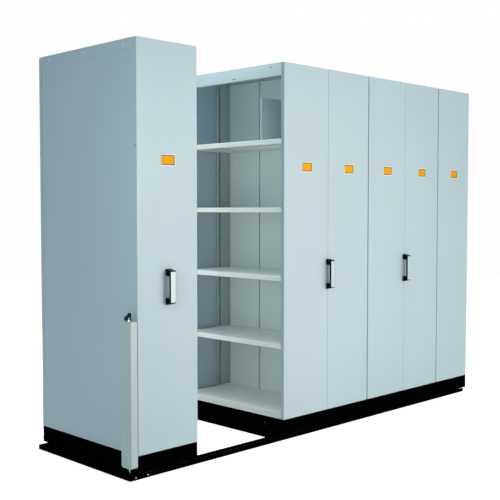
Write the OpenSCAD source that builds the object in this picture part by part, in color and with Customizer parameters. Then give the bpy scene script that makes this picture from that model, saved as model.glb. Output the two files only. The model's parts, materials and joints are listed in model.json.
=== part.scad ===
// Mobile compactor shelving: three wheeled units and one fixed unit on two floor tracks.
// X runs along the row, -Y is the handle end, and Z = 0 is the floor.

/* [Row] */
// Depth of one bay, from its open side to its back
bay_depth = 400; // [350:10:480]
// Length of every unit, from the handle end to the far end
unit_length = 900; // [800:10:1200]
// Height of every unit above the floor
body_h = 2230; // [2120:10:2400]
// Width of the one aisle
aisle_w = 680; // [600:10:900]
// Gap between two units that stand together
unit_gap = 10; // [8:1:16]

/* [Tracks] */
// Width of a track
track_w = 55; // [52:1:70]
// Height of a track
track_h = 26; // [24:1:30]
// How far the tracks run out past the first unit
track_lead = 53; // [50:1:120]
// How far the tracks stop short of the fixed unit's back
track_short = 39; // [0:1:60]
// How far the far track lies in from the far end of the units
far_inset = 41; // [20:1:100]
// Thickness of the track floor
track_floor = 3; // [2:0.5:4]
// Thickness of the track's outer lip
track_lip = 4; // [3:0.5:5]
// Width of the closed box along the track's inner side
track_box = 22; // [20:1:24]
// Wall of that box
track_box_wall = 2; // [1.5:0.5:3]
// Height of the rail's top above the floor
rail_top = 18; // [14:1:20]
// Width of a rail
rail_w = 12; // [10:1:14]
// Distance of the rail's middle from the track's outer edge
rail_in = 20; // [19:1:21]
// Width of a cross tie between the tracks
tie_w = 64; // [50:1:80]
// Radius of a floor anchor's hole
anchor_r = 3.5; // [3:0.5:4]

/* [Running gear] */
// Rolling radius of a wheel
wheel_r = 45; // [40:1:47]
// Height of the guide flanges beside the tread
flange_h = 5; // [3:1:5]
// Width of a wheel
wheel_w = 20; // [18:1:22]
// Radius of an axle
axle_r = 10; // [8:1:12]
// Distance of a single unit's axles from its sides
axle_in_single = 90; // [80:5:120]
// Distance of a double unit's axles from its sides
axle_in_double = 140; // [80:5:250]
// Height of the black plinth's top above the floor
plinth_top = 120; // [118:1:150]
// Gap between the plinth and the tracks under it
plinth_clear = 2; // [1.5:0.5:4]
// Thickness of the plinth's plates
plate = 3; // [2:0.5:4]

/* [Shelves] */
// Height from one post hole to the next
hole_pitch = 29; // [25:1:30]
// Holes from one shelf to the next
shelf_step = 14; // [10:1:14]
// Shelves in each bay, with the lowest one
shelf_count = 5; // [3:1:5]
// Height of a shelf's edge
shelf_edge = 30; // [26:1:36]
// Height of the filler under the lowest shelf
filler_h = 13; // [10:1:30]
// Thickness of the panels' and shelves' sheet
sheet = 1.2; // [0.8:0.1:1.5]
// Thickness of a post's sheet
post_sheet = 1.5; // [1.2:0.1:2]
// Width of a front post
post_w = 45; // [40:1:55]
// Width of a back post with its corner strip
back_post_w = 118; // [90:1:130]
// Width of the corner strip behind a back post
corner_w = 23; // [18:1:30]
// Gap between a back post and its corner strip
corner_gap = 3; // [2:0.5:5]
// Distance of the holes from the front edge of a back post
hole_in = 19; // [15:0.5:30]
// Width of a post hole
hole_w = 15; // [8:0.5:16]
// Height of a post hole
hole_h = 16; // [12:0.5:18]

/* [Panels] */
// Depth of the end panels' folded edges
panel_d = 25; // [22:1:26]
// Height of the fascia over an open side
fascia_h = 75; // [50:1:100]
// Distance of the slot in a fascia from the handle end
slot_y = 426; // [300:2:700]
// Height of the rail over a closed side
closed_rail_h = 54; // [40:1:80]
// Gap in the seam between the two panels of a double unit
panel_seam = 2; // [1:0.5:4]
// Distance of the seam in the back from the handle end
back_seam_y = 590; // [300:10:700]
// Gap between the two sheets of a back
back_gap = 6; // [3:0.5:8]
// Width of a label holder
label_w = 98; // [80:1:120]
// Height of a label holder
label_h = 62; // [50:1:80]
// Depth of a label holder
label_d = 4; // [3.5:0.5:6]
// Height of the label holders' middle above the floor
label_z = 1624; // [1300:1:1900]

/* [Grips] */
// Height of a grip's middle above the floor
grip_z = 970; // [800:10:1200]
// Length of a grip's bow at the panel
grip_len = 188; // [176:1:240]
// How much each end of the bow slopes in towards its front
grip_taper = 10; // [6:1:14]
// Width of a grip's bow
grip_w = 38; // [30:1:50]
// How far a grip stands out
grip_d = 43; // [38:1:60]
// Thickness of the bow in front of the fingers
grip_t = 12; // [11:1:16]
// Height of a grip's foot
grip_foot = 36; // [25:1:40]

/* [Lock] */
// How far the lock's housing stands out from the first unit
lock_w = 44; // [40:1:50]
// Depth of the housing, from the handle end
lock_d = 85; // [82:1:110]
// Height of the housing's bottom above the floor
lock_z0 = 57; // [45:1:80]
// Height of the housing's top above the floor
lock_z1 = 806; // [600:1:1000]
// Radius of the bolt
bolt_r = 6; // [5:0.5:6]
// How far the bolt drops
bolt_drop = 20; // [18:1:26]
// How far the dropped bolt reaches down into the track
bolt_reach = 15; // [8:1:18]
// Width of the key's head, over both lobes
key_w = 44; // [30:1:46]

/* [Divider] */
// Distance of the divider plate from the handle end
divider_y = 205; // [60:5:600]
// Height of the divider plate
divider_h = 255; // [150:5:300]
// Length of the divider plate, into the bay
divider_l = 220; // [120:5:300]
// Width of the divider's foot
divider_foot = 60; // [40:5:120]

/* [Hidden] */
$fn = 48;

// clearances
seam = 0.3;
run_gap = 0.3;
shaft_gap = 0.05;

// places along the row
unit_2_x = bay_depth + aisle_w;
unit_3_x = unit_2_x + 2 * bay_depth + unit_gap;
unit_4_x = unit_3_x + 2 * bay_depth + unit_gap;
row_end = unit_4_x + bay_depth;
units_x = [0, unit_2_x, unit_3_x, unit_4_x];
travel = aisle_w - unit_gap;

// the origin lies under the middle of the whole row
mid_x = (row_end - track_lead) / 2;
mid_y = (unit_length - grip_d) / 2;

// tracks
track_x0 = -track_lead;
track_x1 = row_end - track_short;
far_track_y = unit_length - far_inset;
track_span = far_track_y - 2 * track_w;
last_tie_x = track_x1 - tie_w;
aisle_tie_lead = 32;
aisle_tie_x = unit_2_x - aisle_tie_lead;
tie_xs = [track_x0, aisle_tie_x, (aisle_tie_x + last_tie_x) / 2, last_tie_x];
anchor_past = 100;
anchor_xs = [bay_depth + anchor_past, unit_4_x + bay_depth / 2];
anchor_y = (track_lip + rail_in - rail_w / 2) / 2;
track_box_y = track_w - track_box;
stop_l = 20;
keeper_screws = [-16, 61];
screw_r = 4;
screw_h = 1.5;

// running gear
axle_z = rail_top + wheel_r;
flange_r = wheel_r + flange_h;
groove_w = rail_w + 2 * run_gap;
collar = 2.5;
collar_r = axle_r + 3;
bearing_w = 20;
bearing_half = 22;
bearing_drop = 18;
beam_y = 36;
beam_w = 30;
beam_z = plinth_top - plate - seam - 32;
skirt_in = 2;
skirt_y = 1;
skirt_z = track_h + plinth_clear;
foot_l = 60;
buffer_r = 10;
buffer_z = 75;
buffer_in = 150;

// bays
post_y = 3;
post_front = 2;
post_face = panel_d + 2;
back_post_x = bay_depth - 5 - back_post_w;
corner_x = back_post_x + back_post_w - corner_w;
hole_x = [post_front + post_w / 2, back_post_x + hole_in];
shelf_y = post_face + 1;
shelf_front = 3;
groove_top = 17;
groove_h = 2.5;
groove_in = 2;
front_return = 18;
flange_in = 3;
filler_w = 12;
shelf_back = bay_depth - 8;
base_top = plinth_top + filler_h + shelf_edge;
hole_z0 = base_top - shelf_edge / 2;
post_foot = plinth_top + sheet + seam;
post_top = body_h - 4;
hole_count = floor((post_top - 20 - hole_z0) / hole_pitch) + 1;
shelf_tops = [for (i = [0 : shelf_count - 1]) base_top + i * shelf_step * hole_pitch];
tab_w = hole_w - 3;
tab_h = 10;
tab_l = 6;
back_sheet_x = bay_depth - 5 + seam;
clad_x = back_sheet_x + sheet + 0.5;
clad_top = body_h - closed_rail_h;
divided_rail_h = 20;
slot_l = 34;
slot_h = 6;
slot_up = 12;
fascia_return = 20;
hem = 12;
edge_hole_z = 1690;
edge_hole_r = 2.5;
liner_y = 13;

// divider
divider_in = 18;
divider_edge = 6;

// labels and grips
card_t = 0.5;
label_back = 1.2;
label_rim = 5;
label_window = 3;
grip_pocket = 5;
grip_proud = 1;
grip_round = 3;
grip_face_len = grip_len - 2 * (grip_taper + grip_round + 1);

// lock
lock_x = -lock_w / 2;
lock_y = lock_d / 2;
lock_wall = 1.5;
lock_round = 14;
lock_pocket_z = track_h - track_box_wall;
bolt_tip = track_h - bolt_reach + bolt_drop;
plug_r = 6;
plug_top = lock_z1 + 2.5;
plug_bottom = lock_z1 - 31;
drum_r = 9;
drum_h = 9;
barrel_r = 10;
rosette_r = 13;
guide_drop = 106;
guide_z = lock_z1 - guide_drop;
bolt_top = plug_bottom - drum_h - seam;
shank_h = 11;
shank_w = 8;
neck_w = 11;
key_t = 2.4;
key_aside = 8.4;
lobe_rise = 9;
ring_r = 3;

// colours
panel_blue = [0.78, 0.85, 0.89];
shelf_grey = [0.80, 0.84, 0.86];
plinth_black = [0.07, 0.07, 0.08];
rail_grey = [0.35, 0.36, 0.38];
steel = [0.75, 0.76, 0.78];
aluminium_grey = [0.86, 0.87, 0.88];
rubber_black = [0.05, 0.05, 0.05];
card_orange = [0.99, 0.69, 0.12];
rim_grey = [0.88, 0.86, 0.84];

function is_single(n) = n == 1 || n == 4;
function unit_w(n) = is_single(n) ? bay_depth : 2 * bay_depth;
function unit_x(n) = units_x[n - 1];
function unit_mid(n) = unit_x(n) + unit_w(n) / 2;
function axle_in(n) = is_single(n) ? axle_in_single : axle_in_double;
function axle_x(n, side) = side == "left" ? unit_x(n) + axle_in(n) : unit_x(n) + unit_w(n) - axle_in(n);
// a bay is the x of its open side, and whether it opens towards +X
function bays(n) =
  n == 1 ? [[bay_depth, true]] :
  n == 4 ? [[unit_4_x, false]] :
  [[unit_x(n), false], [unit_x(n) + 2 * bay_depth, true]];

// puts a piece drawn from the first unit's corner into the row
module row() translate([-mid_x, -mid_y, 0]) children();

// draws a piece in each bay of a unit, with x from the open side into the bay
module each_bay(n)
  for (bay = bays(n))
    translate([bay[0], 0, 0]) mirror([bay[1] ? 1 : 0, 0, 0]) children();

// draws a piece at the handle end and, mirrored, at the far end
module both_ends() {
  children();
  translate([0, unit_length, 0]) mirror([0, 1, 0]) children();
}

// draws a piece on the near track and, mirrored, on the far track
module both_tracks() {
  children();
  translate([0, far_track_y, 0]) mirror([0, 1, 0]) children();
}

// a block given by its two corners
module block(a, b) translate(a) cube(b - a);

// a cylinder along Y
module rod_y(r, y0, y1) translate([0, y0, 0]) rotate([-90, 0, 0]) cylinder(r = r, h = y1 - y0);

// extrudes an outline drawn in Y and Z along X
module along_x(x0, x1) translate([x0, 0, 0]) rotate([90, 0, 90]) linear_extrude(x1 - x0) children();

// extrudes an outline drawn in X and Z along Y
module along_y(y0, y1) translate([0, y1, 0]) rotate([90, 0, 0]) linear_extrude(y1 - y0) children();

// a rectangle with round corners, drawn from its lower left corner
module round_rect(w, h, r) {
  translate([r, 0]) square([w - 2 * r, h]);
  translate([0, r]) square([w, h - 2 * r]);
  for (x = [r, w - r], y = [r, h - r])
    translate([x, y]) circle(r);
}

// the outline of a track: outer lip, floor, and closed inner box
module track_outline() {
  square([track_w, track_floor]);
  square([track_lip, track_h]);
  difference() {
    translate([track_box_y, 0]) square([track_box, track_h]);
    translate([track_box_y + track_box_wall, track_floor])
      square([track_box - 2 * track_box_wall, track_h - track_floor - track_box_wall]);
  }
}

// two floor tracks, with the anchors' holes and the bolt's holes at both ends of its travel
module tracks() color(plinth_black) row() difference() {
  both_tracks() along_x(track_x0, track_x1) track_outline();
  for (x = anchor_xs, y = [anchor_y, far_track_y - anchor_y])
    translate([x, y, -1]) cylinder(r = anchor_r, h = track_floor + 2);
  for (x = [lock_x, lock_x + travel])
    translate([x, lock_y, lock_pocket_z - 1]) cylinder(r = bolt_r + seam + 0.2, h = track_box_wall + 2);
}

// the rails that the wheels run on, and the stops at the ends of the travel
module track_rails() color(rail_grey) row() both_tracks() {
  block([track_x0 + tie_w, rail_in - rail_w / 2, track_floor], [track_x1 - 2, rail_in + rail_w / 2, rail_top]);
  first_stop = axle_x(1, "left") - stop_reach();
  last_stop = axle_x(3, "right") + stop_reach();
  for (x = [first_stop - stop_l, last_stop])
    for (side = [-1, 1])
      translate([x, rail_in + side * (rail_w / 2 + 3.2) - 3, track_floor])
        cube([stop_l, 6, stop_top - track_floor]);
}
stop_top = track_h;
// how far out a wheel's flange reaches at the height of the stops
function stop_reach() = sqrt(pow(flange_r, 2) - pow(axle_z - stop_top, 2)) + run_gap + 0.2;

// ties between the two tracks, along the floor
module cross_ties() color(plinth_black) row()
  for (x = tie_xs)
    difference() {
      block([x, track_w, 0], [x + tie_w, track_w + track_span, track_h]);
      block([x + plate, track_w - 1, -1], [x + tie_w - plate, track_w + track_span + 1, track_h - plate]);
    }

// the two screws of the bolt's keeper, on the near track's face
module track_screws() color(steel) row()
  for (x = keeper_screws)
    translate([x, 0, track_h / 2]) rod_y(screw_r, -screw_h, 0);

// plates that make a unit's plinth, from its own corner
module plinth_plates(n) translate([unit_x(n), 0, 0]) {
  w = unit_w(n);
  inner = skirt_in + plate + seam;
  both_ends()
    block([skirt_in, skirt_y, skirt_z], [w - skirt_in, skirt_y + plate, plinth_top]);
  for (x = [skirt_in, w - skirt_in - plate])
    block([x, skirt_y + plate + seam, skirt_z], [x + plate, unit_length - skirt_y - plate - seam, plinth_top]);
  far_beam = far_track_y - beam_y;
  block([inner, skirt_y + plate + seam, plinth_top - plate], [w - inner, beam_y + beam_w, plinth_top]);
  block([inner, far_beam - beam_w, plinth_top - plate],
    [w - inner, unit_length - skirt_y - plate - seam, plinth_top]);
  both_tracks()
    block([inner, beam_y, beam_z], [w - inner, beam_y + beam_w, plinth_top - plate - seam]);
}

// a wheeled unit's plinth frame
module chassis(n) color(plinth_black) row() plinth_plates(n);

// the fixed unit's plinth, with feet on the tracks
module static_plinth() color(plinth_black) row() {
  plinth_plates(4);
  for (side = ["left", "right"])
    translate([axle_x(4, side), 0, 0]) both_tracks()
      block([-foot_l / 2, track_box_y + 1, track_h], [foot_l / 2, track_w + 4, beam_z - seam]);
}

// bearing blocks under a unit's beams, with the axles' bores
module bearings(n) color(steel) row()
  for (side = ["left", "right"])
    translate([axle_x(n, side), 0, 0]) both_tracks() difference() {
      block([-bearing_half, beam_y + 5, axle_z - bearing_drop], [bearing_half, beam_y + 5 + bearing_w, beam_z]);
      translate([0, 0, axle_z]) rod_y(axle_r + shaft_gap, beam_y, beam_y + beam_w);
    }

// an axle with a collar on each side of both wheels
module axle(n, side) color(steel) row() translate([axle_x(n, side), 0, axle_z]) {
  outer = rail_in - wheel_w / 2;
  rod_y(axle_r, outer - run_gap - collar, far_track_y - outer + run_gap + collar);
  both_tracks() {
    rod_y(collar_r, outer - run_gap - collar, outer - run_gap);
    rod_y(collar_r, outer + wheel_w + run_gap, outer + wheel_w + run_gap + collar);
  }
}

// the near wheel, grooved to run over its rail, and the plain far wheel
module wheels(n, side) color(rail_grey) row() translate([axle_x(n, side), 0, axle_z]) {
  y0 = rail_in - wheel_w / 2;
  bore_r = axle_r + shaft_gap;
  difference() {
    union() {
      rod_y(flange_r, y0, rail_in - groove_w / 2);
      rod_y(wheel_r - run_gap, y0, y0 + wheel_w);
      rod_y(flange_r, rail_in + groove_w / 2, y0 + wheel_w);
    }
    rod_y(bore_r, y0 - 1, y0 + wheel_w + 1);
  }
  far_y0 = far_track_y - y0 - wheel_w;
  difference() {
    rod_y(wheel_r - run_gap, far_y0, far_y0 + wheel_w);
    rod_y(bore_r, far_y0 - 1, far_y0 + wheel_w + 1);
  }
}

// an axle with its two wheels, which turn as one
module wheelset(n, side) {
  axle(n, side);
  wheels(n, side);
}

// a post's folded sheet with its row of holes, from x0 to x0 + w
module post(x0, w, slot_x) {
  along_y(post_face - post_sheet, post_face) difference() {
    translate([x0, post_foot]) square([w, post_top - post_foot]);
    for (i = [0 : hole_count - 1])
      translate([slot_x - hole_w / 2, hole_z0 + i * hole_pitch - hole_h / 2]) square([hole_w, hole_h]);
  }
  post_sides(x0, w);
}

// the two folded sides of a post or a corner strip, from x0 to x0 + w
module post_sides(x0, w)
  for (x = [x0, x0 + w - post_sheet])
    block([x, post_y, post_foot], [x + post_sheet, post_face - post_sheet, post_top]);

// the folded strip in a back corner, without holes
module corner_strip() {
  block([corner_x, post_face - post_sheet, post_foot], [corner_x + corner_w, post_face, post_top]);
  post_sides(corner_x, corner_w);
}

// the posts of a unit's bays, with a corner strip behind each back post
module posts(n) color(shelf_grey) row() each_bay(n) both_ends() {
  post(post_front, post_w, hole_x[0]);
  post(back_post_x, back_post_w - corner_w - corner_gap, hole_x[1]);
  corner_strip();
}

// a folded end panel, and the liner between the posts behind it
module end_panel(back_x, edge_hole) {
  difference() {
    block([0, 0, plinth_top], [back_x, panel_d, body_h]);
    block([sheet, sheet, plinth_top + sheet], [back_x - sheet, panel_d + 1, body_h - sheet]);
    if (edge_hole)
      translate([back_x - sheet - 1, panel_d / 2, edge_hole_z])
        rotate([0, 90, 0]) cylinder(r = edge_hole_r, h = sheet + 2);
  }
  block([post_front + post_w + seam, liner_y, post_foot],
    [back_post_x - seam, liner_y + sheet, post_top]);
}

// the end panels of a unit's bays, one seam apart on a double unit
module end_panels(n) color(panel_blue) row() each_bay(n) both_ends()
  end_panel(bay_depth - (is_single(n) ? 0 : panel_seam / 2), is_single(n));

// the two sheets of a bay's back, and the outer cladding of a closed side
module back_panel(n) color(panel_blue) row() each_bay(n) {
  for (span = [[post_y, back_seam_y - back_gap / 2], [back_seam_y + back_gap / 2, unit_length - post_y]])
    block([back_sheet_x, span[0], post_foot], [back_sheet_x + sheet, span[1], post_top]);
  clad_y = panel_d + seam;
  if (is_single(n)) {
    block([clad_x, clad_y, plinth_top], [clad_x + sheet, unit_length - clad_y, clad_top - seam]);
    block([clad_x, clad_y, plinth_top], [bay_depth - 0.5, unit_length - clad_y, plinth_top + hem]);
  }
}

// the top of a unit's bays: roof sheet, slotted fascia over the open side, and rail at the back
module top(n) color(panel_blue) row() each_bay(n) {
  y0 = panel_d + seam;
  y1 = unit_length - y0;
  back_x = bay_depth - (is_single(n) ? 0 : panel_seam / 2);
  back_h = is_single(n) ? closed_rail_h : divided_rail_h;
  return_y = post_face + seam;
  under = body_h - sheet - seam;
  slot_z = body_h - fascia_h + slot_up;
  block([0, y0, body_h - sheet], [back_x, y1, body_h]);
  difference() {
    block([0, y0, body_h - fascia_h], [sheet, y1, under]);
    block([-1, slot_y - slot_l / 2, slot_z], [sheet + 1, slot_y + slot_l / 2, slot_z + slot_h]);
  }
  block([0, return_y, body_h - fascia_h], [fascia_return, unit_length - return_y, body_h - fascia_h + sheet]);
  block([back_x - sheet, y0, body_h - back_h], [back_x, y1, under]);
}

// the section of a shelf's front edge: upper band, groove, lower band and return
module shelf_front_outline() {
  groove_bottom = groove_top + groove_h;
  translate([0, -groove_top]) square([sheet, groove_top]);
  translate([0, -groove_top]) square([groove_in + sheet, sheet]);
  translate([groove_in, -groove_bottom - sheet]) square([sheet, groove_h + 2 * sheet]);
  translate([0, -groove_bottom - sheet]) square([groove_in + sheet, sheet]);
  translate([0, -shelf_edge]) square([sheet, shelf_edge - groove_bottom]);
  translate([0, -shelf_edge]) square([front_return, sheet]);
}

// one shelf with its folded edges and the four tabs that hook into the posts
module shelf(top_z) translate([0, 0, top_z]) {
  y1 = unit_length - shelf_y;
  along_y(shelf_y, y1) {
    translate([shelf_front, 0]) shelf_front_outline();
    translate([shelf_front, -sheet]) square([shelf_back - shelf_front, sheet]);
    translate([shelf_back - sheet, -shelf_edge]) square([sheet, shelf_edge]);
  }
  tab_z = -shelf_edge / 2 - hole_h / 2 + seam;
  both_ends() {
    block([shelf_front + flange_in, shelf_y, -shelf_edge], [shelf_back, shelf_y + sheet, 0]);
    for (x = hole_x)
      block([x - tab_w / 2, shelf_y - tab_l, tab_z], [x + tab_w / 2, shelf_y, tab_z + tab_h]);
  }
}

// all shelves of a unit's bays, and the fillers under the lowest
module shelves(n) color(shelf_grey) row() each_bay(n) {
  for (z = shelf_tops)
    shelf(z);
  filler_top = base_top - shelf_edge - seam;
  for (x = [shelf_front, shelf_back - sheet - filler_w])
    block([x, shelf_y, plinth_top], [x + filler_w, unit_length - shelf_y, filler_top]);
}

// label holders, one on the handle end of each bay
module labels(n) color(rim_grey) row() each_bay(n) translate([bay_depth / 2, 0, label_z]) {
  slot_w = label_w - 2 * label_rim;
  slot_h = label_h - 2 * label_rim;
  difference() {
    block([-label_w / 2, -label_d, -label_h / 2], [label_w / 2, 0, label_h / 2]);
    block([-slot_w / 2, -label_back - 1, -slot_h / 2], [slot_w / 2, -label_back, slot_h / 2]);
    block([label_window - slot_w / 2, -label_d - 1, label_window - slot_h / 2],
      [slot_w / 2 - label_window, -label_back - 0.5, slot_h / 2 - label_window]);
  }
}

// the cards in the label holders
module cards(n) color(card_orange) row() each_bay(n) translate([bay_depth / 2, 0, label_z]) {
  w = label_w - 2 * label_rim - 1;
  h = label_h - 2 * label_rim - 2 * seam;
  block([-w / 2, -label_back - 0.2 - card_t, -h / 2], [w / 2, -label_back - 0.2, h / 2]);
}

// the outline of a grip, seen along X, with ends that slope in from the panel to its front
module grip_outline(front) hull() {
  translate([-1, -grip_len / 2]) square([1, grip_len]);
  for (side = [-1, 1])
    translate([front + grip_round, side * (grip_len / 2 - grip_taper - grip_round)]) circle(grip_round);
}

// the black bow of a grip, a C with a pocket for its bright face
module grip_bow(n) color(rubber_black) row() translate([unit_mid(n), 0, grip_z]) {
  front = grip_proud - grip_d;
  gap_h = grip_len - 2 * grip_foot;
  difference() {
    along_x(-grip_w / 2, grip_w / 2) difference() {
      grip_outline(front);
      translate([front + grip_t, -gap_h / 2]) square([2 * grip_d, gap_h]);
    }
    block([-grip_w / 2 + 2, front - 1, -grip_face_len / 2 - 0.2],
      [grip_w / 2 - 2, front + grip_pocket, grip_face_len / 2 + 0.2]);
  }
}

// the bright face of a grip
module grip(n) color(aluminium_grey) row() translate([unit_mid(n), -grip_d, grip_z])
  block([-grip_w / 2 + 2.2, 0, -grip_face_len / 2], [grip_w / 2 - 2.2, grip_proud + grip_pocket - seam, grip_face_len / 2]);

// rubber buffers on one side of a unit's plinth, which close the gap to the next unit
module side_buffers(n, side) {
  reach = unit_gap + 2 * skirt_in - seam;
  x0 = side == "left" ? unit_x(n) + skirt_in - reach : unit_x(n) + unit_w(n) - skirt_in;
  for (y = [buffer_in, unit_length - buffer_in])
    translate([x0, y, buffer_z]) rotate([0, 90, 0]) cylinder(r = buffer_r, h = reach);
}
module buffers(n, sides) color(rubber_black) row() {
  for (side = sides)
    side_buffers(n, side);
}

// the outline of the lock's housing, seen along X, with round lower corners
module lock_outline(inset) {
  w = lock_d - 2 * inset;
  h = lock_z1 - lock_z0 - 2 * inset;
  r = lock_round - inset;
  translate([inset, lock_z0 + inset]) {
    round_rect(w, h - r, r);
    translate([0, h / 2]) square([w, h / 2]);
  }
}

// the housing of the lock, open towards the unit, with the bolt's guides
module lock_housing() color(panel_blue) row() difference() {
  union() {
    difference() {
      along_x(-lock_w, 0) lock_outline(0);
      along_x(-lock_w + lock_wall, 1) lock_outline(lock_wall);
    }
    block([-lock_w + 1, 1, guide_z], [-0.5, lock_d - 1, guide_z + plate]);
  }
  translate([lock_x, lock_y, lock_z0 - 1]) cylinder(r = bolt_r + seam, h = guide_z + plate - lock_z0 + 3);
  translate([lock_x, lock_y, lock_z1 - lock_wall - 1]) cylinder(r = barrel_r + 0.1, h = lock_wall + 2);
}

// the fixed barrel of the lock, with its rosette on the housing's top
module lock_cylinder() color(steel) row() translate([lock_x, lock_y, 0]) difference() {
  union() {
    translate([0, 0, plug_bottom]) cylinder(r = barrel_r, h = lock_z1 - plug_bottom);
    translate([0, 0, lock_z1]) cylinder(r = rosette_r, h = 2);
  }
  translate([0, 0, plug_bottom - 1]) cylinder(r = plug_r + shaft_gap, h = lock_z1 - plug_bottom + 4);
}

// the turning plug with its lifting drum, and the key, whose two lobes lie over and beside its shank
module lock_key() color(rubber_black) row() translate([lock_x, lock_y, 0]) {
  translate([0, 0, plug_bottom - run_gap]) cylinder(r = plug_r, h = plug_top - plug_bottom + run_gap);
  translate([0, 0, plug_bottom - run_gap - drum_h]) cylinder(r = drum_r, h = drum_h);
  block([-shank_w / 2, -key_t / 2, plug_top], [shank_w / 2, key_t / 2, plug_top + shank_h]);
  lobe_r = key_w / 4;
  head_z = plug_top + shank_h + lobe_rise;
  difference() {
    along_y(-key_t, key_t) {
      for (side = [-1, 1])
        translate([side * lobe_r - key_aside, head_z + side * lobe_rise]) circle(lobe_r);
      translate([-key_aside, head_z]) circle(neck_w / 2);
      translate([lobe_r - key_aside - neck_w / 2, head_z - lobe_rise - 3]) square([neck_w, 2 * lobe_rise]);
    }
    translate([lobe_r - key_aside, 0, head_z + lobe_rise + 2]) rod_y(ring_r, -key_t - 1, key_t + 1);
  }
}

// the bolt, raised, hanging under the lifting drum
module lock_bolt() color(steel) row()
  translate([lock_x, lock_y, bolt_tip]) cylinder(r = bolt_r, h = bolt_top - run_gap - bolt_tip);

// the divider plate on the top shelf of the second unit's left bay
module divider_plate() color(shelf_grey) row() {
  z = shelf_tops[shelf_count - 1] + run_gap;
  x = unit_2_x + divider_in;
  block([x, divider_y, z], [x + divider_l, divider_y + sheet, z + divider_h]);
  block([x, divider_y, z], [x + divider_l, divider_y + divider_foot, z + sheet]);
  block([x, divider_y, z], [x + sheet, divider_y + divider_edge, z + divider_h]);
}

module static_posts() posts(4);
module static_end_panels() end_panels(4);
module static_back_panel() back_panel(4);
module static_top() top(4);
module static_shelves() shelves(4);
module static_label() labels(4);
module static_card() cards(4);
module static_buffers() buffers(4, ["left"]);

module carriage_1_chassis() chassis(1);
module carriage_1_wheelset_left() wheelset(1, "left");
module carriage_1_wheelset_right() wheelset(1, "right");
module carriage_1_bearings() bearings(1);
module carriage_1_posts() posts(1);
module carriage_1_end_panels() end_panels(1);
module carriage_1_back_panel() back_panel(1);
module carriage_1_top() top(1);
module carriage_1_shelves() shelves(1);
module carriage_1_grip() grip(1);
module carriage_1_grip_bow() grip_bow(1);
module carriage_1_label() labels(1);
module carriage_1_card() cards(1);

module carriage_2_chassis() chassis(2);
module carriage_2_axle_left() axle(2, "left");
module carriage_2_wheels_left() wheels(2, "left");
module carriage_2_axle_right() axle(2, "right");
module carriage_2_wheels_right() wheels(2, "right");
module carriage_2_bearings() bearings(2);
module carriage_2_posts() posts(2);
module carriage_2_end_panels() end_panels(2);
module carriage_2_back_panels() back_panel(2);
module carriage_2_top() top(2);
module carriage_2_shelves() shelves(2);
module carriage_2_grip() grip(2);
module carriage_2_grip_bow() grip_bow(2);
module carriage_2_labels() labels(2);
module carriage_2_cards() cards(2);
module carriage_2_buffers() buffers(2, ["left", "right"]);

module carriage_3_chassis() chassis(3);
module carriage_3_wheelset_left() wheelset(3, "left");
module carriage_3_wheelset_right() wheelset(3, "right");
module carriage_3_bearings() bearings(3);
module carriage_3_posts() posts(3);
module carriage_3_end_panels() end_panels(3);
module carriage_3_back_panels() back_panel(3);
module carriage_3_top() top(3);
module carriage_3_shelves() shelves(3);
module carriage_3_grip() grip(3);
module carriage_3_grip_bow() grip_bow(3);
module carriage_3_labels() labels(3);
module carriage_3_cards() cards(3);

tracks();
track_rails();
cross_ties();
track_screws();
static_plinth();
static_posts();
static_end_panels();
static_back_panel();
static_top();
static_shelves();
static_label();
static_card();
static_buffers();
carriage_1_chassis();
carriage_1_wheelset_left();
carriage_1_wheelset_right();
carriage_1_bearings();
carriage_1_posts();
carriage_1_end_panels();
carriage_1_back_panel();
carriage_1_top();
carriage_1_shelves();
carriage_1_grip();
carriage_1_grip_bow();
carriage_1_label();
carriage_1_card();
lock_housing();
lock_cylinder();
lock_key();
lock_bolt();
carriage_2_chassis();
carriage_2_axle_left();
carriage_2_wheels_left();
carriage_2_axle_right();
carriage_2_wheels_right();
carriage_2_bearings();
carriage_2_posts();
carriage_2_end_panels();
carriage_2_back_panels();
carriage_2_top();
carriage_2_shelves();
carriage_2_grip();
carriage_2_grip_bow();
carriage_2_labels();
carriage_2_cards();
carriage_2_buffers();
divider_plate();
carriage_3_chassis();
carriage_3_wheelset_left();
carriage_3_wheelset_right();
carriage_3_bearings();
carriage_3_posts();
carriage_3_end_panels();
carriage_3_back_panels();
carriage_3_top();
carriage_3_shelves();
carriage_3_grip();
carriage_3_grip_bow();
carriage_3_labels();
carriage_3_cards();
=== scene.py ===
import json
import math

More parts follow.
